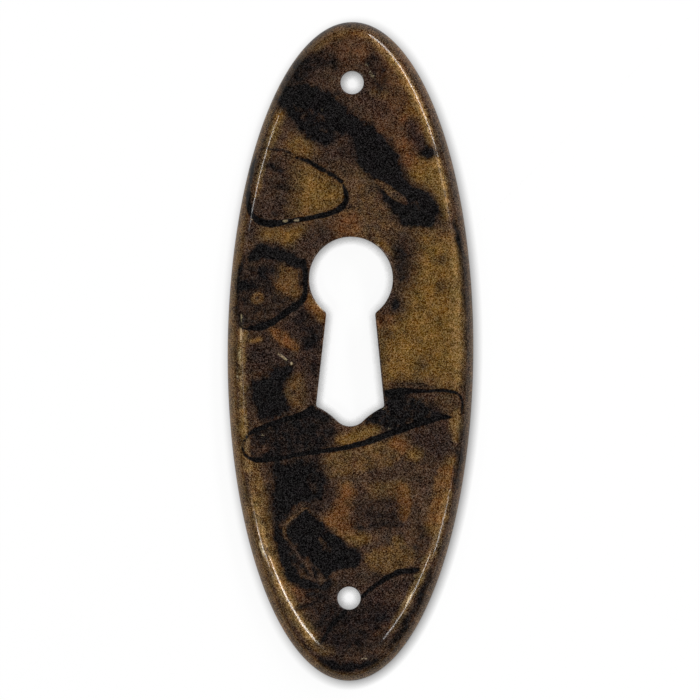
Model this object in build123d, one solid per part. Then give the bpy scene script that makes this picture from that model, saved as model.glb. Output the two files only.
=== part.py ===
"""Oval keyhole escutcheon: the cover plate of a cabinet or drawer lock's keyhole.

It is one piece. A sheet-brass blank is pressed over a former, so that its edge turns
down into a rounded rim and its back is hollow, and a keyhole and two pin holes are
punched through its face from the front, which draws their front edges in a little.

Millimetres. The origin is the middle of the plane that the rim stands on, +Z points
out of the front face and +Y towards the round head of the keyhole.
"""

import os
from math import cos, radians, sin, sqrt

from build123d import *

# Pressed plate
plate_length = 60.0
plate_width = 22.4
sheet_thickness = 0.8
bend_radius = 1.2  # inside of the bend from the face into the rim
skirt_height = 0.2  # straight edge of the rim, below its bend

# Oval outline: tangent arcs that follow an ellipse closely
side_arc_end = 15.7  # degrees from the X axis to the outline's normal, where the side's arc ends
shoulder_arc_end = 42.7  # the same, where the shoulder's arc ends and the tip's begins
tip_fullness = 1.17  # tip's radius, as a multiple of a true ellipse's

# Keyhole, placed by the centre of its round head
head_diameter = 7.6
head_above_centre = 6.6
neck_width = 4.4  # of the slot, where it leaves the head
slot_foot_width = 6.2  # of the slot, at its two lower corners
slot_reach = 11.6  # from the head's centre down to those corners
foot_drop = 1.8  # from the corners down to the bottom of the foot
foot_radius = 1.65  # of the round foot
foot_half_angle = 45.0  # degrees, from the foot's bottom to where its shoulders begin
neck_round = 0.35  # corner between head and slot
corner_round = 0.2  # lower corners of the slot

# Pin holes, on the plate's long axis
pin_hole_diameter = 2.1
upper_pin_above_centre = 24.4
lower_pin_below_centre = 22.4

# Rounding that the punch leaves round the front of every hole
edge_roll = 0.15

# Worked out from the sizes above
rim_radius = bend_radius + sheet_thickness
plate_height = skirt_height + rim_radius
cavity_depth = plate_height - sheet_thickness


def rounded_block(outline, height, radius):
    """A block of that outline, standing on Z 0, with its upper edge rounded."""
    block = extrude(outline, height)
    upper_edge = block.faces().sort_by(Axis.Z)[-1].edges()
    return fillet(upper_edge, radius)


def oval(inset):
    """The plate's outline, or the line inside it at that distance all round, as a face.

    A quarter of the outline is three tangent arcs, round the side, the shoulder and the tip. The
    tip's radius is set, and the other two follow from where the quarter begins and ends.
    """
    half_width = plate_width / 2
    half_length = plate_length / 2
    tip_radius = tip_fullness * half_width**2 / half_length
    side_end = Vector(1, 0).rotate(Axis.Z, side_arc_end)
    shoulder_end = Vector(1, 0).rotate(Axis.Z, shoulder_arc_end)

    # What the side and the shoulder have to span, and how far each spans for a radius of 1
    across = half_width - tip_radius * shoulder_end.X
    along = half_length - tip_radius * (1 - shoulder_end.Y)
    side_across = 1 - side_end.X
    side_along = side_end.Y
    shoulder_across = side_end.X - shoulder_end.X
    shoulder_along = shoulder_end.Y - side_end.Y
    determinant = side_across * shoulder_along - shoulder_across * side_along
    side_radius = (across * shoulder_along - shoulder_across * along) / determinant
    shoulder_radius = (side_across * along - across * side_along) / determinant

    side_centre = Vector(half_width - side_radius, 0)
    shoulder_centre = side_centre + side_end * (side_radius - shoulder_radius)
    tip_centre = shoulder_centre + shoulder_end * (shoulder_radius - tip_radius)
    shoulder_turn = shoulder_arc_end - side_arc_end
    quarter = [
        CenterArc(side_centre, side_radius - inset, 0, side_arc_end),
        CenterArc(shoulder_centre, shoulder_radius - inset, side_arc_end, shoulder_turn),
        CenterArc(tip_centre, tip_radius - inset, shoulder_arc_end, 90 - shoulder_arc_end),
    ]
    half = quarter + [mirror(arc, about=Plane.YZ) for arc in quarter]
    return make_face(half + [mirror(arc, about=Plane.XZ) for arc in half])


def pressed_shell():
    """The plate before punching: the face, its rounded rim and the hollow behind them."""
    outside = rounded_block(oval(inset=0), plate_height, rim_radius)
    inside = rounded_block(oval(inset=sheet_thickness), cavity_depth, bend_radius)
    return outside - inside


def keyhole():
    """The keyhole's outline: a round head, a slot that widens downwards, and a bracket foot."""
    head_radius = head_diameter / 2
    head_centre = Vector(0, head_above_centre)
    half_neck = neck_width / 2
    neck = head_centre + Vector(half_neck, -sqrt(head_radius**2 - half_neck**2))
    corner = head_centre + Vector(slot_foot_width / 2, -slot_reach)

    foot_bottom = Vector(0, corner.Y - foot_drop)
    half_angle = radians(foot_half_angle)
    foot_end = foot_bottom + Vector(sin(half_angle), 1 - cos(half_angle)) * foot_radius
    foot_end_direction = Vector(cos(half_angle), sin(half_angle))

    side = Line(neck, corner)
    shoulder = TangentArc(foot_end, corner, tangent=foot_end_direction)
    head = ThreePointArc(neck, head_centre + Vector(0, head_radius), Vector(-neck.X, neck.Y))
    foot = ThreePointArc(foot_end, foot_bottom, Vector(-foot_end.X, foot_end.Y))
    mirrored = [mirror(line, about=Plane.YZ) for line in (side, shoulder)]
    outline = make_face([head, side, shoulder, foot, *mirrored])

    for place, radius in ((neck, neck_round), (corner, corner_round)):
        pair = [v for v in outline.vertices() if abs(v.Y - place.Y) < radius / 2]
        outline = fillet(pair, radius)
    return outline


def pin_holes():
    """The two round holes for the pins that fix the plate."""
    hole = Circle(pin_hole_diameter / 2)
    return Pos(0, upper_pin_above_centre) * hole + Pos(0, -lower_pin_below_centre) * hole


def escutcheon_plate():
    """The pressed shell with its holes punched, their front edges drawn in."""
    plate = pressed_shell() - extrude(keyhole() + pin_holes(), plate_height)
    face = plate.faces().filter_by(GeomType.PLANE).sort_by(Axis.Z)[-1]
    hole_edges = [edge for wire in face.inner_wires() for edge in wire.edges()]
    return fillet(hole_edges, edge_roll)


os.makedirs("parts", exist_ok=True)
export_step(escutcheon_plate(), "parts/escutcheon_plate.step")
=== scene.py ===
"""An old oval keyhole escutcheon, lying on white paper under soft studio lamps.

Metres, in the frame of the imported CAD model: the plate stands on Z 0, +Z comes out of its
front and +Y points towards the round head of its keyhole.
"""

import math

import bmesh
import bpy
import numpy as np
from mathutils import Matrix, Vector, noise


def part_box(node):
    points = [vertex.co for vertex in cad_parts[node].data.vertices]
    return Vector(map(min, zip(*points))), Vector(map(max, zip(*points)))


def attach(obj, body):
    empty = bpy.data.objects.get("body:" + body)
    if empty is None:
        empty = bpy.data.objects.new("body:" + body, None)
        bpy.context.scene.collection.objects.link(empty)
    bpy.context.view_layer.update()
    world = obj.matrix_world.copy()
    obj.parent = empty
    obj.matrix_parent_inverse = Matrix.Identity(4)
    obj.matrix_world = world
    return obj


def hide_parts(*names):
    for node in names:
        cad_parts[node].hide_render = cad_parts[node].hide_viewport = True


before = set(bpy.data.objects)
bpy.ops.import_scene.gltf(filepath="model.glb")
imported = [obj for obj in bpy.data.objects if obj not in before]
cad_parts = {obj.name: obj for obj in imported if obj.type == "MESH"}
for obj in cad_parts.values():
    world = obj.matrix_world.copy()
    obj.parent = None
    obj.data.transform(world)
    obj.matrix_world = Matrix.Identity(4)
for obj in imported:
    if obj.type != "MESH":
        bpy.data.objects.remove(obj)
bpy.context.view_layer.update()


# Escutcheon plate: one blank of sheet brass, pressed over a former so that its edge turns down
# into a rounded rim round a hollow back, then punched from the front with the keyhole and two
# pin holes. Two round-headed pins would fix it to the front of a drawer.
mm = 0.001
half_width, half_length, plate_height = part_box("escutcheon_plate")[1]
sheet_thickness = 0.8 * mm
bend_radius = 1.2 * mm  # inside of the bend from the face into the rim
rim_radius = bend_radius + sheet_thickness
skirt_height = plate_height - rim_radius  # straight edge of the rim, below its bend
outline_points = 560
rim_steps = 16
hollow_steps = 6


def select(piece, kind, test):
    """Selects only the piece's faces, edges or vertices that pass the test, in edit mode."""
    bpy.ops.mesh.select_mode(type={"faces": "FACE", "edges": "EDGE", "verts": "VERT"}[kind])
    bpy.ops.mesh.select_all(action="DESELECT")
    mesh = bmesh.from_edit_mesh(piece.data)
    for element in getattr(mesh, kind):
        if test(element):
            element.select_set(True)
    bmesh.update_edit_mesh(piece.data)


def turn_over(radius, steps, up):
    """Insets the selected face again and again, along a quarter of a circle of that radius."""
    for step in range(steps):
        start = math.pi / 2 * step / steps
        end = math.pi / 2 * (step + 1) / steps
        inwards = radius * (math.cos(start) - math.cos(end))
        rise = radius * (math.sin(end) - math.sin(start))
        bpy.ops.mesh.inset(thickness=inwards, depth=up * rise, use_even_offset=True)


bpy.ops.object.select_all(action="DESELECT")
bpy.ops.mesh.primitive_circle_add(vertices=outline_points, radius=half_length, fill_type="NGON")
plate = bpy.context.object
plate.name = "old_brass_plate"
bpy.ops.object.mode_set(mode="EDIT")
bpy.ops.mesh.select_mode(type="FACE")
bpy.ops.mesh.select_all(action="SELECT")
bpy.ops.transform.resize(value=(half_width / half_length, 1, 1))
bpy.ops.mesh.extrude_region_move(TRANSFORM_OT_translate={"value": (0, 0, skirt_height)})
turn_over(rim_radius, rim_steps, up=1)

# The hollow behind the face, one sheet's thickness inside the outline
flat = 0.999  # upright part of the normal of a face that lies flat
select(plate, "faces", lambda face: face.normal.z < -flat)
bpy.ops.mesh.inset(thickness=sheet_thickness, use_even_offset=True)
bpy.ops.mesh.extrude_region_move(TRANSFORM_OT_translate={"value": (0, 0, skirt_height)})
turn_over(bend_radius, hollow_steps, up=-1)
bpy.ops.mesh.select_all(action="SELECT")
bpy.ops.mesh.normals_make_consistent(inside=False)
bpy.ops.object.mode_set(mode="OBJECT")

# The keyhole's punch: half of its outline is drawn from the head's top down to the foot
head_radius = 3.8 * mm
head_centre = Vector((0, 6.6, 0)) * mm
half_neck = 2.2 * mm  # of the slot, where it leaves the head
slot_corner = Vector((3.1, -5.0, 0)) * mm
foot_bottom = Vector((0, -6.8, 0)) * mm
foot_radius = 1.65 * mm
foot_half_angle = math.radians(45)
neck_round = 0.25 * mm
corner_round = 0.2 * mm
punch_length = 5 * mm
head_steps = 60
shoulder_steps = 10
foot_steps = 12
corner_steps = 5
same_point = 0.0001 * mm  # points nearer than this are one point
same_place = 0.01 * mm  # points this near to a place are meant by it

neck_turn = math.pi - math.asin(half_neck / head_radius)
neck = head_centre + Vector((half_neck, -math.sqrt(head_radius**2 - half_neck**2), 0))
foot_centre = foot_bottom + Vector((0, foot_radius, 0))
foot_end_side = Vector((math.sin(foot_half_angle), -math.cos(foot_half_angle), 0))
foot_end = foot_centre + foot_end_side * foot_radius
shoulder_chord = foot_end - slot_corner
shoulder_radius = -shoulder_chord.length_squared / (2 * shoulder_chord.dot(foot_end_side))
shoulder_centre = foot_end + foot_end_side * shoulder_radius
shoulder_turn = (slot_corner - shoulder_centre).angle(foot_end - shoulder_centre)

bpy.ops.object.select_all(action="DESELECT")
bpy.ops.mesh.primitive_plane_add(size=mm)
punch = bpy.context.object
bpy.ops.object.mode_set(mode="EDIT")
bpy.ops.mesh.select_mode(type="VERT")
bpy.ops.mesh.select_all(action="SELECT")
bpy.ops.mesh.merge(type="CENTER")
bpy.ops.transform.translate(value=head_centre + Vector((0, head_radius, 0)))
bpy.ops.mesh.spin(steps=head_steps, angle=neck_turn, center=head_centre, axis=(0, 0, 1))
bpy.ops.mesh.extrude_region_move(TRANSFORM_OT_translate={"value": slot_corner - neck})
bpy.ops.mesh.spin(steps=shoulder_steps, angle=-shoulder_turn, center=shoulder_centre, axis=(0, 0, 1))
bpy.ops.mesh.spin(steps=foot_steps, angle=foot_half_angle, center=foot_centre, axis=(0, 0, 1))
bpy.ops.mesh.select_all(action="SELECT")
bpy.ops.mesh.symmetrize(direction="POSITIVE_X", threshold=same_point)
bpy.ops.mesh.select_all(action="SELECT")
bpy.ops.mesh.remove_doubles(threshold=same_point)
bpy.ops.mesh.edge_face_add()
bpy.ops.transform.translate(value=(0, 0, (plate_height - punch_length) / 2))
bpy.ops.mesh.extrude_region_move(TRANSFORM_OT_translate={"value": (0, 0, punch_length)})
for corner, rounding in ((neck, neck_round), (slot_corner, corner_round)):
    select(punch, "edges", lambda edge: all(
        abs(abs(v.co.x) - corner.x) < same_place and abs(v.co.y - corner.y) < same_place
        for v in edge.verts
    ))
    bpy.ops.mesh.bevel(offset=rounding, segments=corner_steps, affect="EDGES")
bpy.ops.mesh.select_all(action="SELECT")
bpy.ops.mesh.normals_make_consistent(inside=False)
bpy.ops.object.mode_set(mode="OBJECT")

# The pin holes' punches are round, and all the holes are cut in one stroke
pin_hole_radius = 1.05 * mm
pin_hole_points = 64
upper_pin_above_centre = 24.4 * mm
lower_pin_above_centre = -22.4 * mm
for pin_above_centre in (upper_pin_above_centre, lower_pin_above_centre):
    bpy.ops.mesh.primitive_cylinder_add(
        vertices=pin_hole_points,
        radius=pin_hole_radius,
        depth=punch_length,
        location=(0, pin_above_centre, plate_height / 2),
    )
    punch.select_set(True)
    bpy.context.view_layer.objects.active = punch
    bpy.ops.object.join()
    bpy.ops.object.select_all(action="DESELECT")
plate.select_set(True)
bpy.context.view_layer.objects.active = plate
cut = plate.modifiers.new("punched", "BOOLEAN")
cut.object = punch
cut.solver = "EXACT"
bpy.ops.object.modifier_apply(modifier=cut.name)
bpy.data.objects.remove(punch)

# The punch draws the front edge of each hole in a little
edge_roll = 0.15 * mm
edge_roll_steps = 3
face_from = plate_height - 0.001 * mm  # height from which a point lies on the face
upright = 0.1  # most that the normal of a hole's wall leans up or down
bpy.ops.object.mode_set(mode="EDIT")
select(plate, "edges", lambda edge: (
    all(v.co.z > face_from for v in edge.verts)
    and any(abs(face.normal.z) < upright for face in edge.link_faces)
))
bpy.ops.mesh.bevel(offset=edge_roll, segments=edge_roll_steps, affect="EDGES", clamp_overlap=False)

# The face is cut into a fine grid, whose points carry the patina
grid = 0.15 * mm
cut_gap = 0.00001 * mm  # least distance from a cut to a point
select(plate, "faces", lambda face: (
    face.normal.z > flat and face.calc_center_median().z > plate_height - same_place
))
bpy.ops.mesh.hide(unselected=True)
for direction, reach in (((0, 1, 0), half_length - rim_radius), ((1, 0, 0), half_width - rim_radius)):
    for cut_number in range(math.ceil(2 * reach / grid)):
        bpy.ops.mesh.select_all(action="SELECT")
        cut_place = Vector(direction) * (grid * (cut_number + 0.5) - reach)
        bpy.ops.mesh.bisect(plane_co=cut_place, plane_no=direction, threshold=cut_gap)
bpy.ops.mesh.reveal(select=False)
bpy.ops.mesh.select_all(action="DESELECT")
bpy.ops.object.mode_set(mode="OBJECT")
sharp_from = math.radians(30)
bpy.ops.object.shade_smooth_by_angle(angle=sharp_from)

# Towards its lower end the rim was pressed a little wider and softer. From here on, places on the
# plate are in millimetres, and a point's inset is how far it lies inside the outline.
points = np.empty(3 * len(plate.data.vertices))
plate.data.vertices.foreach_get("co", points)
points = points.reshape(-1, 3) / mm
places = points[:, :2]
oval = np.array((half_width, half_length)) / mm
share_out = np.linalg.norm(places / oval, axis=1)
inset = (1 - share_out) * share_out / np.linalg.norm(places / oval**2, axis=1)
widening_starts = -18.5
widening_ends = -27.0
most_widening = 1.0
front_within = 0.06  # how near to the front's height a point of the front lies
softened = np.clip((places[:, 1] - widening_starts) / (widening_ends - widening_starts), 0, 1)


def front_height(widening):
    """Height of the front at every point of the plate, for a rim that is so much wider."""
    outwards = np.clip(1 - inset / (rim_radius / mm + widening), 0, 1)
    return skirt_height / mm + rim_radius / mm * np.sqrt(1 - outwards**2)


below_front = front_height(0) - points[:, 2]
on_front = np.abs(below_front) < front_within
points[on_front, 2] = front_height(most_widening * softened)[on_front]
plate.data.vertices.foreach_set("co", points.ravel() * mm)
plate.data.update()

# Patina: decades of lacquer, polish and damp have browned the brass in pools and runs, each with
# its own dried edge. Some marks, most of them on the rim, are painted sheen, glints and shade.
# They are drawn in millimetres on the face, x to the right and y to the top:
# a closed edge from points of two numbers, and a run or a spot from points with its width third.
bare_of_it = -1.0
patina = {
    finish: np.full(len(places), bare_of_it)
    for finish in ("gold", "rust", "umber", "rubbed_and_sheen", "dark", "tide", "bare_metal_and_glints", "raw")
}
full_cover = 2.0
creep_size = 1.1
creep_octaves = 4
creep = 0.13  # how far the edges of the pools have crept unevenly
creep_seed = 1
noise.seed_set(creep_seed)
crept = places + creep * np.array([
    noise.turbulence_vector((x / creep_size, y / creep_size, 0), creep_octaves, False)[:2]
    for x, y in places
])
line_steps = 6  # straight pieces from one drawn point to the next
never_zero = 1e-12
box_margin = 0.5  # room round a drawn shape for half its width and the creep


def flowing(shape, closed):
    """A smooth Catmull-Rom line through the shape's points, with its width where it has one."""
    knots = np.array(shape, dtype=float)
    if closed:
        knots = np.concatenate((knots[-1:], knots, knots[:2]))
    else:
        spare = 2 if len(knots) == 1 else 1
        knots = np.concatenate((knots[:1], knots, *[knots[-1:]] * spare))
    before, start, end, after = knots[:-3], knots[1:-2], knots[2:-1], knots[3:]
    steps = np.linspace(0, 1, line_steps, endpoint=False)[:, None, None]
    line = start + 0.5 * steps * (
        end - before
        + steps * (2 * before - 5 * start + 4 * end - after + steps * (3 * (start - end) + after - before))
    )
    line = line.transpose(1, 0, 2).reshape(-1, knots.shape[1])
    return line if closed else np.concatenate((line, knots[-1:]))


def depth_inside(shape, spots):
    """How far each spot lies inside the shape's edge, in millimetres, and below 0 outside it."""
    closed = len(shape[0]) == 2
    line = flowing(shape, closed)
    starts = line if closed else line[:-1]
    ends = np.roll(line, -1, axis=0) if closed else line[1:]
    spans = ends - starts
    from_start = spots[:, None] - starts[:, :2]
    along = (from_start * spans[:, :2]).sum(2) / np.maximum((spans[:, :2] ** 2).sum(1), never_zero)
    along = np.clip(along, 0, 1)
    gaps = np.linalg.norm(from_start - along[..., None] * spans[:, :2], axis=2)
    if not closed:
        return ((starts[:, 2] + along * spans[:, 2]) / 2 - gaps).max(axis=1)
    above = (starts[:, 1] > spots[:, 1:]) != (ends[:, 1] > spots[:, 1:])
    rise = np.where(spans[:, 1] == 0, never_zero, spans[:, 1])
    crossing = starts[:, 0] + (spots[:, 1:] - starts[:, 1]) / rise * spans[:, 0]
    inside = (above & (spots[:, :1] < crossing)).sum(axis=1) % 2 == 1
    return np.where(inside, gaps.min(axis=1), -gaps.min(axis=1))


def near(shape, margin):
    """Which points of the plate lie in the shape's box, with a margin."""
    corners = np.array(shape)[:, :2]
    low, high = corners.min(axis=0) - margin, corners.max(axis=0) + margin
    return np.flatnonzero(((places > low) & (places < high)).all(axis=1))


def stain(finish, strength, softness, shape):
    """Lays a finish over a shape. A strength below 1 lets what is under it through."""
    drawn_on = places if finish in ("tide", "bare_metal_and_glints") else crept
    nearby = near(shape, 4 * softness + box_margin)
    cover = 0.5 + depth_inside(shape, drawn_on[nearby]) / (2 * softness)
    cover = np.clip(cover, bare_of_it, strength)
    patina[finish][nearby] = np.maximum(patina[finish][nearby], cover)


def thin(finish, strength, softness, shape):
    """Wears a finish down to a strength inside a shape."""
    nearby = near(shape, 2 * softness + box_margin)
    worn = np.clip(0.5 + depth_inside(shape, crept[nearby]) / (2 * softness), 0, 1)
    limit = strength + (full_cover - strength) * (1 - worn)
    patina[finish][nearby] = np.minimum(patina[finish][nearby], limit)


# Painted shade darkens a band along the bend of the rim, most of it on the right, and a painted golden
# sheen lightens its outer edge, most of all on the left. The hollow back stayed raw brass.
to_the_right = places[:, 0] / oval[0]
rim_softness = 0.2
least_behind = 0.3  # how far behind the front, and inside the outline, the raw brass begins


def rim_band(middle, half_band, strength):
    """Cover of a soft band along the rim, whose middle lies so far inside the outline."""
    cover = 0.5 + (half_band - np.abs(inset - middle)) / (2 * rim_softness)
    return np.clip(cover, bare_of_it, strength)


patina["umber"] = rim_band(middle=0.65, half_band=0.25, strength=0.35 + 0.4 * to_the_right)
patina["gold"] = rim_band(middle=0.3, half_band=0.35, strength=0.45 - 0.3 * to_the_right)
patina["raw"][(below_front > least_behind) & (inset > least_behind)] = 1.0

# More painted shade darkens the rim outside its reflected lines on both upper shoulders and the lower
# right
for painted_shade_band in (
    [(-9.7, 12, 0.2), (-8.85, 16, 0.3), (-7.7, 20, 0.3), (-6.25, 23.5, 0.2)],
    [(9.85, 12, 0.2), (9, 16, 0.3), (7.85, 20, 0.3), (6.4, 23.5, 0.2)],
    [(9.3, -13, 0.2), (8.4, -17, 0.3), (7.5, -20, 0.2)],
):
    stain("umber", 0.8, 0.2, painted_shade_band)

# Lighter gold along the inside of the rim, by its reflected lines: partly rubbed brass, partly painted
# sheen
stain("rubbed_and_sheen", 0.8, 0.4, [
    (9.3, 9.5, 0.3), (9.5, 7, 0.5), (9.65, 3, 0.6), (9.65, -0.5, 0.6), (9.5, -3, 0.3),
])
stain("rubbed_and_sheen", 0.45, 0.3, [
    (1.9, 28.1, 0.1), (4, 25.9, 0.3), (6, 22.5, 0.4), (7.1, 19.4, 0.4), (7.8, 16, 0.7), (8.3, 13.4, 0.5),
    (8.5, 12.4, 0.2),
])
stain("rubbed_and_sheen", 0.5, 0.4, [
    (-8.8, -13.5, 0.3), (-8.1, -16.5, 0.5), (-7.1, -19.2, 0.7), (-5.9, -21.9, 0.7), (-4.5, -24.5, 0.6),
    (-3.3, -26, 0.4),
])
stain("rubbed_and_sheen", 0.35, 0.3, [
    (9, -12.8, 0.3), (8, -16.8, 0.4), (6.8, -19.6, 0.3), (5.4, -22.6, 0.3), (3.8, -25.2, 0.2),
])
stain("rubbed_and_sheen", 0.3, 0.25, [
    (-9.75, 2, 0.3), (-9.85, 0, 0.3), (-9.8, -3.5, 0.3), (-9.7, -7, 0.4), (-9.3, -10.5, 0.5),
])
stain("rubbed_and_sheen", 0.35, 0.25, [(-6.9, 20.9, 0.4), (-7.8, 17.8, 0.3), (-8.7, 14.2, 0.2)])

# Top, round the upper pin hole
stain("gold", 0.7, 0.35, [
    (-3.2, 27.4, 0.3), (-2.4, 28.2, 0.4), (-1.2, 28.8, 0.5), (0.4, 29, 0.5), (1.6, 28.6, 0.4),
])
stain("umber", 1.3, 0.25, [
    (-4.2, 27.7, 0.3), (-2.6, 29.1, 0.5), (-1.2, 29.7, 0.5), (0.2, 29.85, 0.5), (1.4, 29.6, 0.5),
    (2.8, 28.9, 0.3),
])
stain("umber", 0.1, 0.4, [(-2, 27.9, 0.4), (-0.6, 28.1, 0.6), (1, 28, 0.4)])
stain("umber", 0.45, 0.7, [
    (-2.4, 26.2), (-1.2, 26.8), (0.2, 26.2), (1.3, 25.6), (1.4, 24.2), (0.6, 23.2), (-0.8, 23.3),
    (-1.6, 24), (-1.4, 25.2),
])
stain("umber", 0.9, 0.6, [
    (-6.3, 24.2), (-5.2, 26), (-3.6, 27.2), (-1.8, 27.2), (-1.5, 26.2), (-2.6, 25.7), (-3.2, 24.7),
    (-4.4, 24.2),
])
stain("rust", 0.15, 0.8, [
    (-1.8, 26.6), (-1.6, 27.8), (0, 28.2), (1.6, 27.9), (1.6, 26.9), (0.4, 26), (-1, 25.9),
])
stain("rust", 0.5, 0.4, [(0.1, 26.3), (0.3, 27.3), (1, 27.6), (1.2, 26.9), (0.8, 26.2)])
stain("dark", 0.7, 0.5, [
    (-6.3, 23.8), (-5.6, 25.3), (-4.6, 26.5), (-3.7, 26.6), (-3.6, 25.8), (-4.1, 24.9), (-4.4, 24.2),
])
stain("dark", 0.5, 0.6, [
    (-3.6, 26.9), (-2.6, 27.1), (-1.5, 26.4), (-1.5, 25.9), (-2.4, 25.8), (-3.4, 26),
])
stain("dark", 0.62, 0.6, [
    (1.2, 26.6), (2, 26.9), (2.8, 26.2), (3.2, 25), (3.1, 23.9), (2.5, 23.6), (2.1, 24.4), (1.9, 25.4),
    (1.4, 26),
])
stain("bare_metal_and_glints", 0.02, 0.1, [(1.2, 26, 0.1), (1.55, 25.4, 0.15), (2.1, 24.6, 0.1)])
stain("umber", 0.6, 0.6, [(0.9, 22.6), (1.5, 23.5), (2.7, 22.8), (3.2, 21.6), (2.2, 21.3), (1.2, 21.9)])
stain("gold", 0.5, 0.4, [(2.1, 23.4, 0.4), (3, 23.3, 0.4)])

# Wide black run, from the upper left down to the right of the keyhole's head
stain("dark", 1.3, 0.5, [
    (-6.8, 22.9), (-6.2, 24.1), (-4.4, 24.3), (-2.6, 23.9), (-1.6, 23.5), (-1.2, 22.7), (-0.4, 22.1),
    (0.9, 21.2), (2.3, 20.2), (3.6, 19.2), (4.2, 18), (4.7, 16.7), (5.3, 15.6), (6.3, 14.9), (7.3, 14.3),
    (8, 13.4), (8.3, 12.6), (8, 11.8), (7.1, 11.2), (5.6, 11.3), (4.4, 11.5), (3.8, 12.5), (3, 13.5),
    (2.4, 14.4), (2.2, 15.2), (1.5, 16), (0.8, 16.6), (0.3, 17.4), (0.2, 18.4), (-0.4, 19.4),
    (-1.4, 19.5), (-2.2, 18.6), (-3.4, 18.9), (-4.6, 19.7), (-5.4, 20.8), (-6.3, 21.8),
])
thin("dark", 0.78, 0.4, [
    (-5.4, 22.4), (-4.2, 22.5), (-3.1, 22.1), (-2.2, 21.3), (-1.8, 20.3), (-2.2, 19.5), (-3.3, 19.8),
    (-4.4, 20.4), (-5.2, 21.4),
])
thin("dark", 0.4, 0.3, [(-5.3, 22.4, 0.5), (-5, 21.9, 0.5), (-4.8, 21.2, 0.2)])
thin("dark", 0.6, 0.3, [(-4, 21.2, 0.3), (-3.2, 20.4, 0.6), (-2.5, 19.8, 0.4)])
stain("bare_metal_and_glints", -0.15, 0.1, [(-3.5, 22.3, 0.1), (-2.5, 21.7, 0.1), (-1.9, 21.2, 0.1)])
thin("dark", -0.2, 0.25, [
    (2.2, 15.5, 0.6), (3.1, 14.9, 0.9), (3.9, 14.3, 1), (4.6, 13.8, 0.9), (5, 13.4, 0.4),
])
thin("dark", 0.92, 0.4, [(4.9, 13.4), (6, 14.2), (6.6, 13.2), (6, 12.3), (4.9, 12.5)])
thin("dark", 0.5, 0.4, [(7.4, 12.6), (8.2, 12.8), (8.6, 11.8), (8, 10.9), (7.3, 11.4)])
stain("umber", 0.7, 0.5, [(-2, 18.9), (-1.4, 20), (0, 19), (0.4, 17.4), (-0.4, 17), (-1.2, 17.8)])

# Upper right, between the run and the rim
stain("rust", 0.2, 1.2, [
    (3.2, 25.3), (4.2, 25.8), (5.4, 23.6), (6.3, 21.2), (5.2, 20.6), (4, 19.6), (3, 20.2), (2.6, 21.6),
    (3.4, 23),
])
stain("gold", 0.1, 0.8, [(3.4, 24.4), (4.4, 25.8), (5.6, 23.6), (5, 22.6), (4, 23)])
stain("umber", 0.3, 0.8, [(2.4, 22.4), (3.2, 23.6), (4.2, 22.6), (4, 21), (3, 20.6), (2.4, 21.4)])
stain("rust", 0.8, 0.3, [(4, 20.4, 0.2), (4.5, 20.9, 0.4), (5, 21.5, 0.2)])
stain("gold", 1.0, 0.5, [(4.5, 21.4), (5.4, 22.9), (6.2, 22), (6, 21.2), (5, 21.3)])
# Painted golden sheen along the reflected line of the upper right rim
stain("gold", 0.8, 0.35, [
    (3.4, 26.8, 0.4), (4.4, 25.3, 0.6), (5.6, 23, 0.6), (6.6, 20.6, 0.5), (7.2, 19.3, 0.4),
])
stain("umber", 1.15, 0.4, [
    (4.9, 20.8), (5.7, 21.1), (6.1, 20), (6.7, 19), (7.3, 18.4), (6.4, 17.9), (5.8, 18.7), (5.2, 19.4),
])
stain("dark", 0.9, 0.35, [(6.4, 18.2), (6.8, 18.8), (7.4, 18.5), (7.6, 17.9), (7.1, 17.4), (6.6, 17.6)])
stain("dark", 0.55, 0.25, [(7.5, 19, 0.3), (7.7, 18.4, 0.4), (7.8, 17.9, 0.2)])
stain("rust", 1.1, 0.5, [(4.1, 18.8), (5, 19.2), (5.5, 18.6), (5.7, 17.5), (5.2, 16.7), (4.7, 17.4)])
stain("gold", 1.0, 0.6, [
    (5.4, 17.2), (6.4, 17.4), (7.6, 17.6), (8.4, 15.9), (8.9, 13.6), (8.5, 13.2), (7.6, 14.3),
    (6.4, 15.2), (5.5, 16),
])
# Painted pale golden sheen where that reflected line widens and fades
stain("gold", 1.5, 0.4, [
    (7.6, 17.6, 0.4), (7.8, 16.2, 0.7), (8, 14.8, 0.7), (8.3, 13.4, 0.4), (8.4, 12.2, 0.2),
])

# Upper left, with a leaf-shaped tide line
stain("gold", 0.9, 0.4, [(-6.6, 21.5, 0.5), (-6.9, 20.6, 0.6), (-7.3, 19.5, 0.5)])
stain("gold", 0.7, 0.7, [
    (-5.6, 18.9), (-4.6, 19.3), (-3.7, 18.8), (-3.5, 18), (-4.6, 17.8), (-5.4, 18.1),
])
stain("umber", 0.4, 0.8, [(-3.2, 18.4), (-1.8, 19), (-0.4, 17.6), (0, 16.6), (-1, 16.6), (-2.2, 17.4)])
stain("dark", 0.75, 0.12, [
    (-8.3, 18.3, 0.15), (-7.4, 18.35, 0.3), (-6.4, 18.2, 0.25), (-5.4, 17.8, 0.15),
])
stain("tide", 0.85, 0.15, [
    (-5, 17.55, 0.2), (-4, 17.25, 0.4), (-3, 16.7, 0.45), (-1.9, 16.1, 0.4), (-0.9, 15.4, 0.3),
])
stain("tide", full_cover, 0.12, [
    (-0.75, 15.1, 0.2), (-0.5, 14.4, 0.4), (-0.45, 13.8, 0.5), (-0.8, 13.15, 0.6), (-1.6, 12.65, 0.5),
    (-3, 12.25, 0.45), (-4.5, 11.95, 0.45), (-6, 11.7, 0.5), (-7.3, 11.55, 0.7), (-8.4, 11.8, 0.6),
    (-9.1, 12.5, 0.5), (-9.35, 13.4, 0.4), (-9.4, 14.4, 0.25),
])
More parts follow.
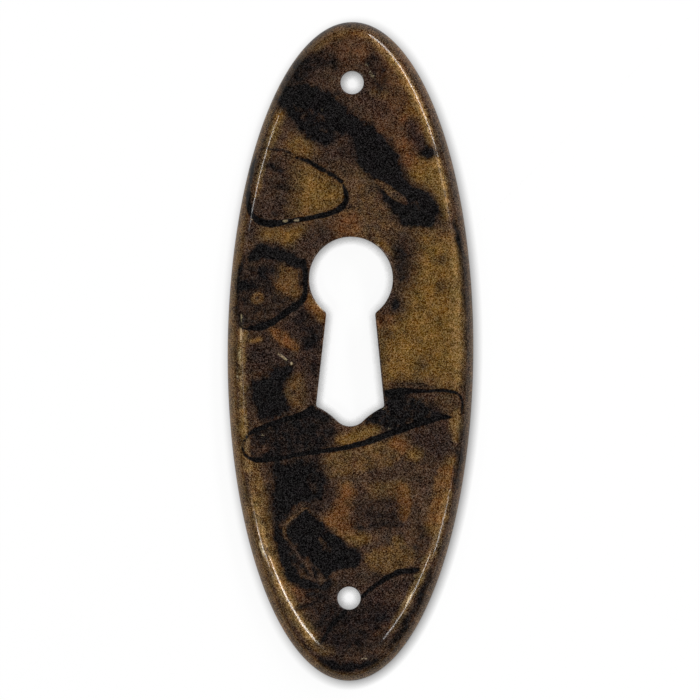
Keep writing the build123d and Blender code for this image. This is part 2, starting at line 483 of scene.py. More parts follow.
stain("dark", 0.8, 0.15, [(-9.35, 13.6, 0.4), (-9.25, 15.2, 0.35), (-8.95, 16.8, 0.25), (-8.7, 18, 0.2)])
stain("gold", 0.95, 0.9, [
    (-4.9, 16.6), (-3.6, 16.3), (-2.2, 15.6), (-1.2, 14.7), (-1.1, 13.8), (-2, 13.1), (-3.6, 12.7),
    (-5, 12.5), (-5.2, 13.6), (-5, 15.2),
])
stain("gold", 1.25, 0.5, [(-3.4, 13.4), (-2, 14), (-1.2, 13.7), (-2, 13), (-3.2, 12.8)])
stain("umber", 0.35, 1.0, [
    (-8.8, 16.5), (-6.2, 17.2), (-5.6, 15.2), (-5.6, 12.6), (-7.2, 12.3), (-8.6, 12.8),
])
stain("dark", 0.6, 0.3, [(-8, 17.3, 0.2), (-7.2, 16.6, 0.4), (-6.2, 16.35, 0.2)])
stain("dark", 0.45, 0.4, [(-7.8, 15.5, 0.2), (-6.8, 15, 0.5), (-5.9, 14.8, 0.2)])
stain("dark", 0.45, 0.4, [(-6.8, 12.6, 0.7)])
# Painted glints on the tide line
for dash in (
    [(-6.15, 11.8, 0.1), (-5.85, 11.82, 0.1)],
    [(-5.2, 11.83, 0.08), (-4.8, 11.88, 0.08)],
    [(-8.95, 11.95, 0.12)],
):
    stain("bare_metal_and_glints", 0.35, 0.08, dash)

# Between the leaf and the keyhole's head
stain("gold", 0.85, 0.5, [
    (-8.2, 10.9), (-6.4, 11), (-4.4, 11.2), (-4.9, 10.2), (-5.6, 9.8), (-6.6, 10.1), (-8, 10.2),
])
stain("umber", 0.7, 0.4, [(-9.2, 11.2), (-8.5, 11.1), (-8.3, 10.5), (-9, 10.2)])
stain("umber", 0.6, 0.5, [
    (-4.2, 10.6), (-3.4, 11.2), (-2.2, 11.1), (-1.8, 10.5), (-3.2, 9.6), (-4.2, 8.8), (-4.8, 9.3),
])
stain("rust", 0.7, 0.5, [
    (-1.5, 11.2), (-0.6, 12.2), (0.3, 12.2), (0.5, 11.2), (-0.2, 10.6), (-1.2, 10.6),
])
stain("gold", 0.05, 1.2, [
    (-0.2, 16.6), (1.2, 15.9), (2.4, 14.6), (3.2, 12.8), (3.4, 11.2), (1.2, 10.8), (0.6, 12.4), (0, 14.5),
])

# Rubbed field to the right of the keyhole
stain("gold", 1.05, 1.0, [
    (6.2, 10.6), (8, 10.4), (9.5, 9.6), (9.9, 6), (10.1, 1), (10, -2.4), (8.6, -2.9), (6.4, -2.4),
    (4.4, -2.6), (3.2, -2.9), (3, -0.5), (3, 2), (4, 3.2), (4.7, 4.6), (5.2, 6.4), (5.9, 8.4),
])
# Painted pale golden sheen along the right rim
stain("gold", 1.6, 0.5, [(9.4, 9, 0.3), (9.6, 5.5, 0.5), (9.7, 1, 0.5), (9.6, -2, 0.3)])
stain("umber", 0.7, 0.5, [(4.3, 10.2), (5.4, 10.5), (6.2, 9.7), (5.6, 8.9), (4.6, 9.1)])
stain("umber", 0.75, 0.7, [(3.9, 9.8), (5.6, 9.6), (5.9, 8), (5.3, 6), (4.6, 5.4), (4, 6.4)])
stain("dark", 0.6, 0.5, [(3.9, 9), (4.7, 9.3), (5.3, 8.6), (5.1, 7.2), (4.6, 6.5), (4.2, 7.4)])
stain("umber", 0.8, 0.5, [(3, 4.4), (4, 5.5), (5, 4.9), (4.8, 3.4), (3.6, 2.8), (2.7, 3.2)])
stain("dark", 0.95, 0.25, [(3.6, 4.3), (3.9, 4.8), (4.4, 4.6), (4.3, 4), (3.8, 3.7)])
stain("rust", 0.6, 0.4, [(2.5, 3.5), (3.2, 3.7), (3.6, 3.1), (3.2, 2.4), (2.6, 2.5)])
thin("umber", 0.2, 0.3, [(2.5, 3.4), (3.4, 3.5), (4.6, 3.6), (4.8, 3.1), (3.6, 2.4), (2.6, 2.5)])
stain("gold", 0.8, 0.25, [(2.4, 9.9, 0.3), (3.2, 9.5, 0.4), (3.9, 8.9, 0.3)])
for spot in ((8.2, 8.5, 0.5), (3.5, 1.6, 0.6), (6.6, -1.1, 0.8), (8.2, 6, 0.8)):
    stain("umber", 0.55, 0.35, [spot])
stain("dark", 0.8, 0.25, [(9.3, 11.9, 0.2), (9.5, 11, 0.4), (9.8, 10, 0.4), (10, 9.2, 0.2)])
stain("dark", 0.5, 0.35, [(10, 9.2, 0.3), (10.25, 7, 0.4), (10.4, 4, 0.3)])

# Blot to the left of the head, with a black cap and a clear window
blot_window = [
    (-6.5, 7.7), (-5.6, 7.8), (-4.9, 7.4), (-4.7, 6.6), (-4.5, 5.3), (-4.9, 4.8), (-6.1, 5), (-6.9, 5.8),
    (-6.7, 6.6),
]
blot_eye = (-8.5, 4.75)
blot_edge = [
    (-9.6, 8.4), (-8.2, 9.6), (-6.8, 9.5), (-5.2, 8.8), (-4.3, 8), (-4.2, 6), (-4.3, 4.8), (-5.4, 3.9),
    (-7.2, 2.8), (-8.8, 2.3), (-10.2, 2.3), (-10.4, 4), (-10.2, 6.6),
]
stain("umber", 0.5, 0.4, blot_edge)
stain("dark", 0.5, 0.4, blot_edge)
thin("dark", -0.3, 0.2, blot_window)
thin("umber", 0.0, 0.3, blot_window)
stain("gold", 0.55, 0.35, blot_window)
stain("rust", 0.1, 0.25, blot_window)
thin("dark", 0.0, 0.3, [(-10, 7.2), (-9.7, 7.8), (-9.2, 7.7), (-9, 7.3), (-9.1, 6.8), (-9.6, 6.7)])
thin("dark", 0.5, 0.2, [(-8.9, 7.3, 0.15), (-8.2, 6.5, 0.25), (-7.4, 6, 0.15)])
thin("dark", 0.55, 0.5, [(-7.6, 4.2), (-6.6, 4.8), (-5.8, 4.2), (-6.6, 3.4), (-7.6, 3.2)])
thin("dark", 0.0, 0.2, [(*blot_eye, 1.4)])
thin("umber", 0.0, 0.2, [(*blot_eye, 1.4)])
stain("gold", 0.45, 0.2, [(*blot_eye, 1.1)])
stain("dark", 0.9, 0.15, [(*blot_eye, 0.35)])
stain("dark", 1.0, 0.4, [(-10.2, 6.4), (-9.4, 6.5), (-8.6, 6.2), (-8.4, 5.7), (-9.4, 5.3), (-10.3, 5.4)])
stain("dark", 1.3, 0.25, [
    (-9.5, 8.2), (-9.1, 9.1), (-8.5, 9.6), (-7.8, 9.7), (-6.6, 9.4), (-5.4, 8.9), (-4.5, 8.3),
    (-4.2, 7.4), (-5, 7.6), (-5.8, 7.9), (-6.8, 8.2), (-7.9, 8.3), (-8.7, 8.1),
])
stain("dark", 0.7, 0.4, [(-8.6, 7.4), (-7.6, 7.8), (-6.9, 7.3), (-7.3, 6.6), (-8.2, 6.6)])
stain("tide", full_cover, 0.15, [
    (-4.35, 8.1, 0.5), (-4.15, 6.8, 0.45), (-4.15, 5.4, 0.45), (-4.4, 4.6, 0.55), (-5.1, 4, 0.6),
    (-6, 3.35, 0.6), (-7, 2.7, 0.6), (-8, 2.2, 0.65), (-9, 2.05, 0.5), (-9.9, 2.1, 0.3),
])
stain("dark", 1.1, 0.2, [(-9.7, 8.4, 0.2), (-10.1, 7, 0.3), (-10.25, 5.2, 0.35), (-10.35, 3.8, 0.2)])
# A painted glint on the left rim
stain("bare_metal_and_glints", 0.2, 0.08, [(-9.95, 3.3, 0.02), (-9.9, 2.85, 0.14), (-9.9, 2.5, 0.02)])

# Left of the slot
neck_patch = [(-3.9, 5), (-3.3, 4.6), (-2.4, 3.5), (-2.4, 2.7), (-3, 2.6), (-3.7, 3.6), (-4, 4.4)]
stain("gold", 1.2, 0.3, neck_patch)
stain("rust", 0.35, 0.3, neck_patch)
rust_strip = [
    (-7.5, 2), (-6.6, 2.1), (-5.6, 1.5), (-4.8, 0.7), (-4.5, 0.1), (-5, -0.1), (-6.1, 0.4), (-7, 1.1),
]
stain("rust", 1.0, 0.4, rust_strip)
stain("gold", 0.5, 0.35, rust_strip)
stain("umber", 0.95, 0.6, [
    (-8.6, 1.9), (-6.8, 2.4), (-5.4, 3.4), (-4.2, 4.1), (-3.4, 3), (-2.4, 2.4), (-2.6, 0), (-2.9, -2.2),
    (-3.1, -4.8), (-4.1, -4.6), (-4.2, -2.4), (-5, -1.2), (-8.6, -1.6), (-9.4, 0), (-9.2, 1.4),
])
thin("umber", -0.5, 0.3, rust_strip)
stain("dark", 0.85, 0.4, [(-4.4, 0.6), (-3.6, 1.7), (-2.9, 1.5), (-3, 0.8), (-4, 0.2)])
stain("dark", 0.5, 0.5, [(-4.6, 3.6), (-3.9, 3.4), (-3, 2.2), (-3, 1.2), (-4.2, 2), (-5, 2.9)])
stain("gold", 1.2, 0.3, [(-9.1, 0.9, 0.5), (-8.3, 1.1, 0.6)])
thin("umber", -0.3, 0.3, [(-9.1, 0.9, 0.6), (-8.3, 1.1, 0.7)])
# Pale scratches left of the slot, with painted glints on them
stain("bare_metal_and_glints", 0.4, 0.08, [(-6.6, -0.2, 0.06), (-6.2, -0.5, 0.1), (-5.8, -0.8, 0.04)])
stain("bare_metal_and_glints", 0.6, 0.08, [(-5.35, -1.15, 0.16)])
stain("dark", 0.95, 0.6, [
    (-8.9, -2.5), (-8, -2.2), (-7.2, -1.5), (-6.2, -1.2), (-5.2, -1.3), (-4.8, -1.8), (-5.4, -2.6),
    (-5.8, -3.4), (-5.8, -4.3), (-5.3, -5.1), (-5.6, -5.7), (-6.6, -6.2), (-7.8, -6.4), (-8.5, -5.6),
    (-9.1, -4),
])
stain("gold", 0.3, 0.5, [
    (-5.4, -2.5), (-4.7, -2.3), (-4.4, -2.8), (-4.4, -4.4), (-4.9, -4.9), (-5.5, -4),
])
stain("dark", 0.6, 0.3, [(-3.4, -1.4, 0.5), (-3.3, -2, 0.4)])
# Along the left rim: painted golden sheen and a painted highlight line that fades downwards
stain("gold", 0.9, 0.3, [(-9.7, 1.6, 0.3), (-9.8, 0.4, 0.4), (-9.8, -0.8, 0.3)])
stain("bare_metal_and_glints", 0.6, 0.08, [(-9.95, 1.95, 0.06), (-9.95, 1.5, 0.12), (-9.97, 0.95, 0.06)])
stain("bare_metal_and_glints", 0.15, 0.1, [(-9.97, 0.5, 0.06), (-10, -0.5, 0.1), (-9.95, -1.4, 0.04)])
stain("bare_metal_and_glints", 0.1, 0.1, [(-9.9, -2.3, 0.04), (-9.9, -3, 0.1), (-9.9, -3.6, 0.04)])
stain("gold", 0.9, 0.3, [(-9.8, -5.6, 0.3), (-9.7, -6.8, 0.5), (-9.7, -7.8, 0.3)])

# Long band below the keyhole, closed by a tide line all round
band_left = [
    (-8.9, -8.1), (-8.2, -7.3), (-6.4, -6.5), (-4.4, -5.8), (-3.4, -5.3), (-2.4, -5.7), (-1.6, -6.5),
    (-1.4, -7.2), (-1.8, -8.1), (-2.6, -8.9), (-4, -9.4), (-6, -9.8), (-8.2, -9.9), (-8.9, -9.4),
]
stain("dark", 0.7, 0.45, band_left)
stain("umber", 0.9, 0.35, band_left)
stain("dark", 1.2, 0.35, [
    (-4.2, -5.7), (-3.3, -5.1), (-2.3, -5.5), (-1.7, -6.1), (-2.8, -6.2), (-3.6, -6.2),
])
thin("dark", 0.05, 0.3, [(-9.2, -8.7), (-8.4, -8.3), (-7.4, -8.6), (-7.4, -9.2), (-8.6, -9.5)])
stain("rust", 0.4, 0.3, [(-8.8, -8.8), (-8.2, -8.5), (-7.4, -8.8), (-7.6, -9.2), (-8.6, -9.3)])
stain("dark", 0.82, 0.5, [
    (3.2, -3.7), (4.2, -3.5), (5.4, -3.6), (6.3, -4.2), (7, -4.8), (7.8, -5.4), (8.6, -5.8), (7, -6.3),
    (5.4, -6.7), (4.2, -7.2), (3.4, -7.3), (2.8, -6.8), (1.8, -6.7), (1.2, -6.4), (2, -5.7), (3, -5),
])
stain("dark", 1.1, 0.3, [(3, -4.8), (1.9, -5.6), (1.3, -6.2), (1.8, -6.5), (2.8, -6.3), (3.5, -5.6)])
stain("dark", 1.0, 0.5, [(3.2, -4.2), (4.4, -4), (5.2, -4.8), (5, -5.9), (3.8, -6.2), (3.1, -5.4)])
for streak in (
    [(4.6, -4.5, 0.1), (6.2, -5.1, 0.3), (7.8, -5.7, 0.1)],
    [(5.6, -4, 0.1), (6.9, -4.6, 0.25), (8, -5.2, 0.1)],
):
    thin("dark", 0.5, 0.25, streak)
stain("umber", 0.7, 0.35, [
    (3.4, -3.2), (3.6, -2.85), (5.2, -2.9), (6.6, -2.95), (7.6, -3.2), (6, -3.5), (4.4, -3.5),
])
stain("dark", 0.5, 0.12, [(3.6, -2.85, 0.1), (5.2, -2.9, 0.16), (6.5, -2.95, 0.16), (7.4, -3.15, 0.1)])
stain("umber", 0.45, 0.5, [(6.4, -3.8), (8.2, -3.8), (9.6, -4.1), (9.8, -5.2), (9, -5.7), (8, -5.2)])
stain("gold", 0.2, 0.4, [(8, -4.4), (8.8, -4), (9.6, -4.3), (9.6, -5.2), (9, -5.6), (8.4, -5)])
stain("gold", 1.0, 0.3, [
    (-1.2, -8.3), (-0.8, -7.7), (0.6, -7.2), (1.6, -6.6), (2.3, -6.7), (2.6, -7.2), (1.5, -7.8),
    (0.3, -8.3), (-0.6, -8.5),
])
stain("tide", full_cover, 0.12, [
    (-3.4, -5.2, 0.6), (-4.4, -5.8, 0.6), (-5.4, -6.05, 0.5), (-6.8, -6.5, 0.45), (-8, -7, 0.5),
    (-8.9, -7.4, 0.4), (-9.5, -8, 0.25), (-9.75, -8.7, 0.2), (-9.6, -9.3, 0.25), (-9.1, -9.7, 0.35),
    (-8.2, -9.9, 0.5), (-6.5, -9.75, 0.45), (-4.5, -9.35, 0.4), (-2.5, -9.05, 0.45), (-0.5, -8.75, 0.45),
    (0.7, -8.45, 0.5), (2, -8.05, 0.6), (3.4, -7.5, 0.6), (4.5, -7.1, 0.65), (5.6, -6.7, 0.65),
    (7, -6.25, 0.6), (8.3, -5.9, 0.55), (9.3, -5.95, 0.2),
])
stain("tide", full_cover, 0.12, [
    (3.2, -3.8, 0.6), (4.5, -3.6, 0.6), (5.6, -3.55, 0.45), (7, -3.55, 0.3), (8.5, -3.5, 0.3),
    (9.6, -3.7, 0.25), (10.1, -4.2, 0.25), (10.2, -5, 0.2), (10.1, -5.7, 0.15),
])
for speck in ((3.55, -6.95, 0.2), (3.1, -5.2, 0.15), (-7.9, -7.6, 0.2)):
    stain("bare_metal_and_glints", 0.12, 0.08, [speck])

# Below the band
stain("gold", 0.28, 0.55, [
    (-2.4, -10.3), (-1.3, -9.6), (0.5, -9.2), (2, -8.9), (3.4, -8.5), (4.8, -8), (5.2, -8.4), (4, -9.4),
    (2.4, -10.2), (0, -10.7), (-1.6, -11),
])
stain("rust", 0.7, 0.4, [(4, -8.3), (4.8, -8), (5.2, -8.6), (4.6, -9.2), (4.1, -8.9)])
stain("gold", 0.9, 0.35, [(5.2, -8.9), (6, -8.8), (6.6, -9.3), (5.8, -9.7), (5.2, -9.5)])
stain("umber", 0.95, 0.6, [
    (5.2, -7.4), (7.2, -6.8), (8.8, -6.6), (9.4, -7.8), (9.4, -9), (8.6, -9.7), (7.2, -9.6), (6.5, -8.8),
    (5.4, -8.2),
])
stain("gold", 0.6, 0.5, [
    (9.2, -9.8, 0.6), (8.9, -11, 0.9), (8.4, -13, 1.1), (7.8, -15, 0.8), (7.4, -16.2, 0.4),
])
stain("rust", 0.35, 0.5, [(8.9, -11, 0.9), (8.5, -13, 1.1), (8, -15, 1)])
stain("dark", 0.5, 0.4, [(10.2, -7.4, 0.2), (10.1, -8.6, 0.4), (9.8, -10.4, 0.5), (9.6, -12, 0.3)])
# A painted glint on the right rim
stain("rubbed_and_sheen", 0.5, 0.3, [(9.6, -5.6, 0.3), (9.6, -6.4, 0.7), (9.6, -7.2, 0.4), (9.65, -7.9, 0.1)])
stain("rust", 0.5, 0.3, [(9.3, -6.1, 0.3), (9.2, -6.9, 0.4)])
thin("umber", -0.1, 0.3, [(9.6, -5.7, 0.3), (9.6, -6.4, 0.8), (9.6, -7.2, 0.5)])
stain("dark", 1.1, 0.8, [
    (-7.1, -10), (-5, -9.8), (-3, -9.8), (-2.6, -10.6), (-2.3, -11.8), (-2.2, -12.8), (-2.6, -13.7),
    (-3.4, -14.3), (-4.2, -13.9), (-5, -14.6), (-5.8, -15.5), (-6.4, -16), (-7, -15.8), (-7.2, -14),
    (-7.2, -12),
])
thin("dark", 0.75, 0.5, [(-7.2, -10.4), (-6.4, -10.3), (-6, -11), (-6.6, -11.6), (-7.3, -11.4)])
thin("dark", 0.72, 0.7, [
    (-4.2, -10), (-2.8, -10), (-2.2, -11.6), (-2.4, -13.2), (-3.6, -13.6), (-4.4, -12),
])
stain("umber", 0.9, 0.6, [(-4.4, -9.9), (-2.8, -9.9), (-2, -11.6), (-2, -13.4), (-3.6, -14), (-4.6, -12)])
stain("umber", 0.85, 0.5, [
    (-2.4, -11.4), (-1.4, -12.2), (-1.4, -13.6), (-2.2, -14.6), (-3.2, -14.4), (-2.8, -12.8),
])
stain("dark", 1.05, 0.3, [
    (-4.2, -14.6), (-3.4, -14.7), (-2.6, -15.4), (-1.8, -16.2), (-0.9, -16.8), (-0.3, -17.5), (0.7, -18),
    (1.2, -18.5), (0.7, -19.6), (-0.6, -19.8), (-1.4, -20.2), (-2.1, -20.9), (-2.6, -20.2), (-3.4, -19.2),
    (-4.4, -18.4), (-5.1, -17.4), (-5.6, -16.4), (-5.4, -15.7),
])
thin("dark", 0.7, 0.5, [(-3.2, -16.4), (-2.2, -16.6), (-1.2, -17.8), (-1.6, -18.8), (-2.8, -18.2)])
stain("dark", 1.05, 0.35, [
    (-6.7, -15.9, 0.8), (-6.3, -17.4, 1), (-5.8, -18.9, 1.2), (-5.2, -20.2, 1.3), (-4.5, -21, 1),
])
stain("dark", 1.2, 0.35, [
    (-5.4, -19.8), (-4.4, -20.3), (-3.5, -20.8), (-2.4, -20.9), (-1.8, -20.4), (-1.5, -21.2), (-2, -21.8),
    (-3.6, -21.7), (-4.8, -21.4),
])
stain("dark", 0.78, 0.5, [
    (-4, -14), (-3.2, -14.6), (-4.8, -16.2), (-4.2, -18.2), (-2.8, -20.2), (-3.6, -20.6), (-5, -19.4),
    (-6.2, -17.4), (-6.3, -15.8), (-5.2, -14.8),
])
pool_tail = [
    (-5.7, -17, 0.4), (-4.9, -18.1, 0.5), (-4.2, -19, 0.5), (-3.5, -19.9, 0.6), (-3.2, -20.4, 0.4),
]
thin("dark", 0.0, 0.2, pool_tail)
stain("umber", 0.35, 0.2, pool_tail)
pool_edge = [
    (-3.5, -14.6, 0.2), (-4.1, -14.3, 0.35), (-5.1, -15.1, 0.4), (-5.9, -15.9, 0.4), (-5.7, -17, 0.35),
]
thin("dark", -0.3, 0.15, pool_edge)
stain("gold", 0.05, 0.15, pool_edge)
# Painted golden sheen beside the reflected line of the lower left rim
stain("gold", 0.4, 0.4, [
    (-8.7, -10.2, 0.5), (-8.5, -12, 0.6), (-8, -14, 0.8), (-7.5, -16, 0.7), (-7, -18, 0.7),
    (-6.2, -20.2, 0.7), (-5.4, -21.8, 0.5),
])
orange_streak = [
    (-0.7, -12.2), (0.2, -12.4), (0.1, -13.8), (-0.2, -15.1), (0.1, -16.3), (-0.6, -16.6), (-1.3, -16),
    (-2.3, -15.3), (-1.6, -14.7), (-1.1, -13.6),
]
stain("gold", 0.45, 0.4, orange_streak)
stain("rust", 0.85, 0.4, orange_streak)
stain("gold", 0.8, 0.4, [
    (-0.4, -16.6), (0.6, -16.5), (1.7, -16.7), (1.4, -17.2), (0.8, -17.4), (0.1, -17.1),
])
stain("gold", 0.4, 0.5, [
    (1.9, -18.6), (3, -18.2), (4.6, -18.1), (5.6, -18.4), (5.3, -19.2), (4.4, -19.5), (3.2, -19.8),
    (2.3, -19.4),
])
stain("gold", 0.5, 0.3, [(4.4, -17.3, 0.8)])
right_streak = [(4.6, -12.3), (5.2, -12.2), (5.3, -13.6), (5.1, -14.9), (4.6, -15), (4.5, -13.6)]
stain("gold", 0.7, 0.3, right_streak)
stain("rust", 0.5, 0.3, right_streak)
stain("gold", 0.25, 0.5, [(2, -12.4), (3.4, -12.2), (4.6, -12.2), (4.4, -13), (3.4, -13.3), (2.4, -13)])
stain("umber", 0.8, 0.8, [
    (0.6, -13.6), (2.6, -13.5), (4.3, -13.4), (4.4, -15.2), (3.6, -15.8), (1.2, -16), (0.3, -15.4),
])
stain("dark", 0.36, 0.8, [(2.6, -13.8), (3.6, -13.5), (4.3, -14), (4.2, -15.2), (2.8, -15.6), (1.8, -15)])
stain("dark", 0.5, 0.25, [
    (0.2, -16, 0.2), (1.5, -16, 0.25), (3, -15.7, 0.3), (4.4, -15.6, 0.3), (5, -15.9, 0.2),
])
stain("dark", 0.42, 0.5, [(6.2, -16.3), (7.2, -16.2), (7.4, -17), (6.9, -18.2), (6.2, -18.6), (6, -17.4)])

# Bottom, round the lower pin hole
stain("umber", 1.0, 1.0, [
    (-4.2, -22.6), (-1.5, -21.4), (1.2, -21.2), (3, -20.9), (6, -20.2), (6, -21.6), (4.8, -24),
    (3, -26.2), (0.5, -27.3), (-2, -26.6), (-3.8, -24.6),
])
thin("umber", 0.55, 0.7, [(2.4, -21.6), (4, -20.9), (5.4, -21.2), (5, -22.8), (3.4, -23.2), (2.2, -22.6)])
stain("dark", 0.46, 1.0, [
    (1.4, -23.2), (3.4, -23.4), (4.4, -24), (3, -26), (1, -27.2), (-1.6, -26.8), (-3, -25), (-2.6, -23.4),
    (-0.6, -23.8),
])
stain("dark", 0.55, 0.6, [
    (-2.6, -23.2), (-1.2, -23), (0.6, -24.2), (1.6, -25.4), (0.6, -27), (-1.6, -26.4), (-2.6, -25),
])
stain("tide", full_cover, 0.15, [
    (1.2, -22.2, 0.35), (2, -21.5, 0.4), (2.8, -20.95, 0.45), (3.6, -20.4, 0.5), (4.5, -20, 0.5),
    (5.5, -19.85, 0.5), (6.3, -19.8, 0.3),
])
stain("tide", 0.9, 0.2, [
    (-0.3, -23.6, 0.3), (-0.9, -24.15, 0.4), (-1.5, -24.8, 0.4), (-2, -25.5, 0.35), (-2.5, -26.5, 0.25),
])
stain("dark", 0.75, 0.25, [(-4.8, -23.4, 0.3), (-4, -23.15, 0.3), (-3.2, -22.8, 0.3), (-2.4, -22.3, 0.3)])
stain("gold", 0.3, 0.5, [(-4.4, -23.4), (-3.2, -23.4), (-2.8, -24.6), (-3, -25.8), (-3.8, -25)])
stain("rust", 0.65, 0.4, [(-5, -21.8), (-4.3, -21.9), (-3.5, -22.4), (-3.8, -22.8), (-4.6, -22.8)])
stain("dark", 0.75, 0.4, [(2, -23.8), (3.1, -23.6), (3.4, -24.1), (2.7, -24.7), (2.1, -24.5)])
thin("dark", -0.3, 0.5, [(2.5, -25.5, 1)])
thin("umber", 0.0, 0.5, [(3.2, -25, 0.6), (2.4, -25.8, 1)])
stain("rust", 0.4, 0.4, [(3.5, -24.8, 0.3), (2.5, -25.8, 0.6)])
stain("gold", 0.35, 0.35, [(-3.4, -26.2, 0.4), (-2.6, -26.9, 0.5), (-1.6, -27.2, 0.4)])
stain("dark", 0.65, 0.4, [(0.3, -26.6, 0.9)])
stain("dark", 0.55, 0.35, [(-3.8, -21.9), (-2.4, -21.9), (-1.9, -22.8), (-2.6, -22.9), (-3.4, -22.3)])
stain("umber", 0.7, 0.35, [
    (-1.8, -27.7, 0.3), (-0.8, -28, 0.4), (0.4, -28.1, 0.4), (1.4, -27.9, 0.4), (2.4, -27.3, 0.3),
])
stain("dark", 1.1, 0.3, [
    (-2.6, -27.8, 0.3), (-2, -28.2, 0.7), (-1, -28.6, 0.8), (0.2, -28.7, 0.8), (1.3, -28.5, 0.7),
    (2.4, -28, 0.4),
])
# Painted shade on the lower right rim, between its reflected line and its outer band
stain("dark", 0.7, 0.3, [
    (3.6, -26.7, 0.4), (4.6, -25.6, 0.6), (5.8, -23.7, 0.6), (6.8, -21.5, 0.5), (7.3, -20, 0.3),
])

# Painted glints on hole edges and the rim, and rim ridges rubbed to pale metal with painted highlights
for glint in (
    [(-3.2, 4.5, 0.06), (-2.75, 4.05, 0.1), (-2.45, 3.75, 0.06)],
    [(2.4, 9.65, 0.12)],
    [(-10.25, -2.35, 0.16)],
):
    stain("bare_metal_and_glints", 0.45, 0.08, glint)
for ridge in (
    [(-8.15, -17.4, 0.08), (-7.95, -18, 0.15), (-7.7, -18.8, 0.1)],
    [(5.95, -21.4, 0.05), (5.45, -22.4, 0.1), (5.05, -23.2, 0.05)],
    [(1.2, -27.95, 0.08), (1.6, -27.8, 0.08)],
):
    stain("bare_metal_and_glints", 0.6, 0.08, ridge)
for finish, cover in patina.items():
    plate.data.attributes.new(finish, "FLOAT", "POINT").data.foreach_set("value", cover)


def linear(colour):
    """The linear colour of an sRGB hex value."""
    parts = [int(colour[i:i + 2], 16) / 255 for i in (1, 3, 5)]
    return (*(p / 12.92 if p <= 0.04045 else ((p + 0.055) / 1.055) ** 2.4 for p in parts), 1)


def add(tree, kind, settings, inputs):
    """A node with its settings, and each input linked to a socket or set to a value."""
    node = tree.nodes.new("ShaderNode" + kind)
    for name, value in settings.items():
        setattr(node, name, value)
    for name, value in inputs.items():
        if isinstance(value, bpy.types.NodeSocket):
            tree.links.new(value, node.inputs[name])
        else:
            node.inputs[name].default_value = value
    return node


# Patinated brass: brown oxide under old lacquer, part metal and part skin, so that it looks dull
# and mottled from above but catches the light along the rim and wherever it is rubbed. Parts of its
# colour are painted sheen, glints and shade.
brown = "#2F1F15"
tan = "#4C3521"
finishes = {  # colour, share of metal, specks, and the covers at which it begins and is complete
    "gold": ("#6B4C1B", 0.25, 0.23, -0.1, 1.1),
    "rust": ("#613918", 0.15, 0.2, -0.2, 1.2),
    "umber": ("#20130E", 0.1, 0.2, -0.2, 1.2),
    "rubbed_and_sheen": ("#7D6032", 0.45, 0.2, -0.1, 1.1),
    "dark": ("#0B0909", 0.0, 0.14, 0.15, 0.85),
    "tide": ("#060505", 0.0, 0.13, 0.3, 0.7),
    "bare_metal_and_glints": ("#D8C398", 0.8, 0.2, 0.0, 1.0),
    "raw": ("#7E6236", 0.6, 0.2, 0.3, 0.7),
}
ground_metal_share = 0.15
ground_specks = 0.2  # how much lighter and darker the specks look, as a share of white
mottle_size = 2.4 * mm
cloud_size = 1.1 * mm
cloud_shade = 0.4  # how much lighter and darker the clouds are
cloud_tint = 0.07  # and how much their red, green and blue differ
edge_size = 0.7 * mm
edge_retreat = -0.45  # change of a finish's cover where its ragged edge draws back
edge_advance = 0.25  # and where it comes forward
edge_specks = 0.2
ripple_size = 0.8 * mm
ripple_height = 0.012 * mm
grain_size = 0.06 * mm  # drawn coarser than the oxide's real grain, so that it shows
grain_height = 0.02 * mm
grain_relief = 0.15
eye_gamma = 2.2  # from light to how bright it looks
smoothest = 0.26
roughest = 0.4
lacquer_share = 0.33
lacquer_roughness = 0.1

patinated_brass = bpy.data.materials.new("patinated_brass")
patinated_brass.use_nodes = True
tree = patinated_brass.node_tree
shader = tree.nodes["Principled BSDF"]
position = add(tree, "TexCoord", {}, {}).outputs["Object"]
mottle = add(tree, "TexNoise", {}, {
    "Vector": position, "Scale": 1 / mottle_size, "Detail": 5, "Roughness": 0.6,
})
cloud = add(tree, "TexNoise", {}, {
    "Vector": position, "Scale": 1 / cloud_size, "Detail": 4, "Roughness": 0.65,
})
ragged = add(tree, "TexNoise", {}, {
    "Vector": position, "Scale": 1 / edge_size, "Detail": 4, "Roughness": 0.6,
})
ripple = add(tree, "TexNoise", {}, {"Vector": position, "Scale": 1 / ripple_size, "Detail": 2})
grain_cells = add(tree, "TexVoronoi", {}, {"Vector": position, "Scale": 1 / grain_size})
grain = add(tree, "SeparateColor", {}, {"Color": grain_cells.outputs["Color"]}).outputs["Red"]
ragged_edge = add(tree, "MapRange", {}, {
    "Value": ragged.outputs["Fac"], "From Min": 0.25, "From Max": 0.75,
    "To Min": edge_retreat, "To Max": edge_advance,
}).outputs["Result"]
wander = add(tree, "Math", {"operation": "MULTIPLY_ADD"}, {
    0: grain, 1: edge_specks, 2: ragged_edge,
}).outputs[0]
patch = add(tree, "MapRange", {}, {
    "Value": mottle.outputs["Fac"], "From Min": 0.35, "From Max": 0.65,
}).outputs["Result"]
colour = add(tree, "Mix", {"data_type": "RGBA"}, {0: patch, 6: linear(brown), 7: linear(tan)}).outputs[2]
metal = ground_metal_share
specks = ground_specks
for finish, (finish_colour, metal_share, speck_share, begins, complete) in finishes.items():
    drawn_cover = add(tree, "Attribute", {"attribute_name": finish}, {}).outputs["Fac"]
    ragged_cover = add(tree, "Math", {"operation": "ADD"}, {0: drawn_cover, 1: wander}).outputs[0]
    part = add(tree, "MapRange", {}, {
        "Value": ragged_cover, "From Min": begins, "From Max": complete,
    }).outputs["Result"]
    colour = add(tree, "Mix", {"data_type": "RGBA"}, {
        0: part, 6: colour, 7: linear(finish_colour),
    }).outputs[2]
    metal = add(tree, "Mix", {}, {0: part, 2: metal, 3: metal_share}).outputs[0]
    specks = add(tree, "Mix", {}, {0: part, 2: specks, 3: speck_share}).outputs[0]
